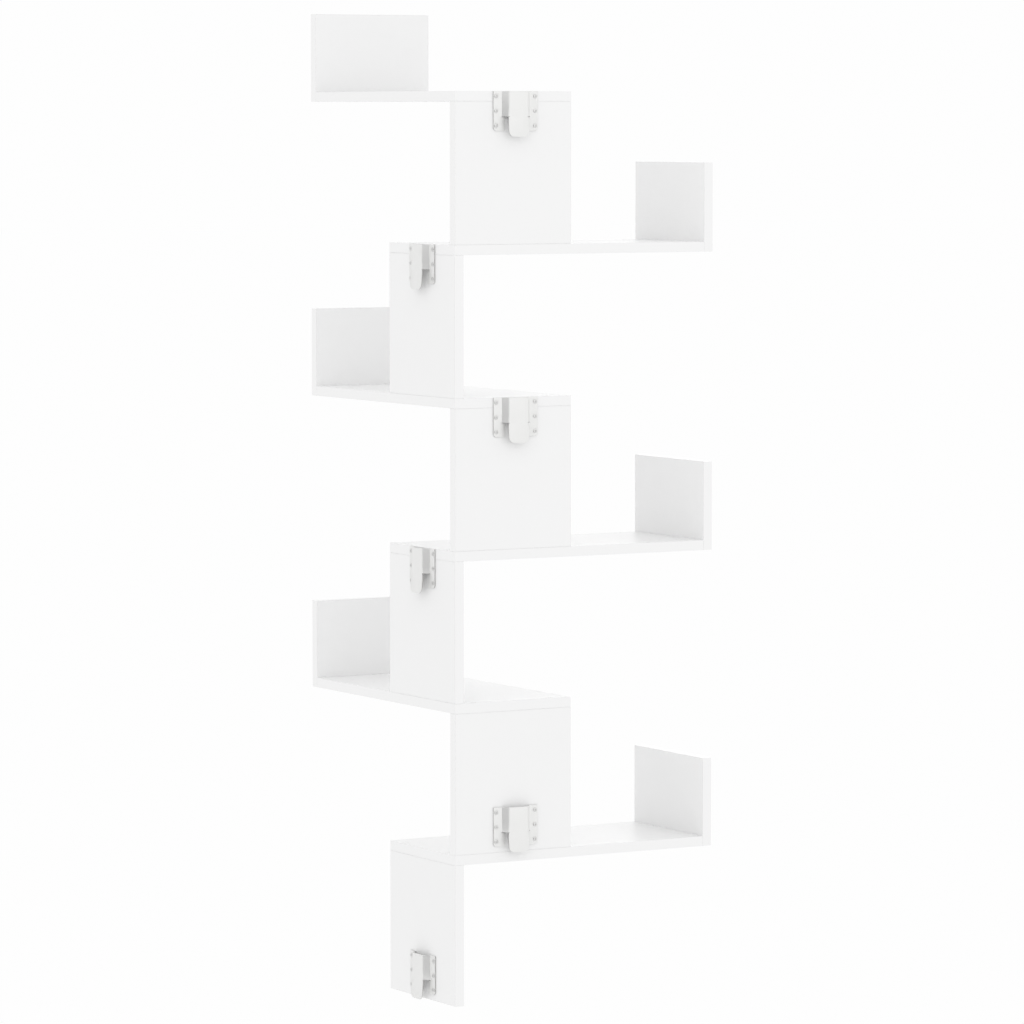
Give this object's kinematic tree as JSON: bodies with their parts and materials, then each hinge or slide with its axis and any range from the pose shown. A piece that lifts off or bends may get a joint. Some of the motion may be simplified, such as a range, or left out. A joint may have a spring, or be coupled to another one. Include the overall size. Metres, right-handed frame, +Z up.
{
  "type": "corner shelving unit",
  "caption": "White wall-hung corner shelving unit: shelves with end uprights climb in a zigzag up the corner of two walls, joined by panels that carry pressed steel hangers.",
  "frame": {"origin": "the corner line where the two back planes of the boards meet, at the foot of the lowest wall panel", "axes": "+Z up; on side A the board backs lie in Y = 0 and the boards run along -X; on side B the backs lie in X = 0 and the boards run along -Y; the room is towards -X and -Y, and the hangers stand out behind the backs"},
  "size_m": [0.4628, 0.4628, 1.482],
  "materials": {
    "board": "white melamine facing on chipboard, satin",
    "hanger": "pressed sheet, bright zinc plated",
    "screw": "zinc plated"
  },
  "bodies": {
    "root": {"shelf_1": "board", "shelf_2": "board", "shelf_3": "board", "shelf_4": "board", "shelf_5": "board", "shelf_6": "board", "end_upright_1": "board", "end_upright_2": "board", "end_upright_3": "board", "end_upright_4": "board", "end_upright_5": "board", "end_upright_6": "board", "wall_panel_1": "board", "wall_panel_2": "board", "wall_panel_3": "board", "wall_panel_4": "board", "wall_panel_5": "board", "wall_panel_6": "board", "wall_hanger_1": "hanger", "wall_hanger_2": "hanger", "wall_hanger_3": "hanger", "wall_hanger_4": "hanger", "wall_hanger_5": "hanger", "wall_hanger_6": "hanger", "upright_screw_1_inner": "screw", "upright_screw_1_outer": "screw", "upright_screw_2_inner": "screw", "upright_screw_2_outer": "screw", "upright_screw_3_inner": "screw", "upright_screw_3_outer": "screw", "upright_screw_4_inner": "screw", "upright_screw_4_outer": "screw", "upright_screw_5_inner": "screw", "upright_screw_5_outer": "screw", "upright_screw_6_inner": "screw", "upright_screw_6_outer": "screw", "panel_screw_1_head_inner": "screw", "panel_screw_1_head_outer": "screw", "panel_screw_1_foot_inner": "screw", "panel_screw_1_foot_outer": "screw", "panel_screw_2_head_inner": "screw", "panel_screw_2_head_outer": "screw", "panel_screw_2_foot_inner": "screw", "panel_screw_2_foot_outer": "screw", "panel_screw_3_head_inner": "screw", "panel_screw_3_head_outer": "screw", "panel_screw_3_foot_inner": "screw", "panel_screw_3_foot_outer": "screw", "panel_screw_4_head_inner": "screw", "panel_screw_4_head_outer": "screw", "panel_screw_4_foot_inner": "screw", "panel_screw_4_foot_outer": "screw", "panel_screw_5_head_inner": "screw", "panel_screw_5_head_outer": "screw", "panel_screw_5_foot_inner": "screw", "panel_screw_5_foot_outer": "screw", "panel_screw_6_head_inner": "screw", "panel_screw_6_head_outer": "screw"}
  },
  "joints": []
}
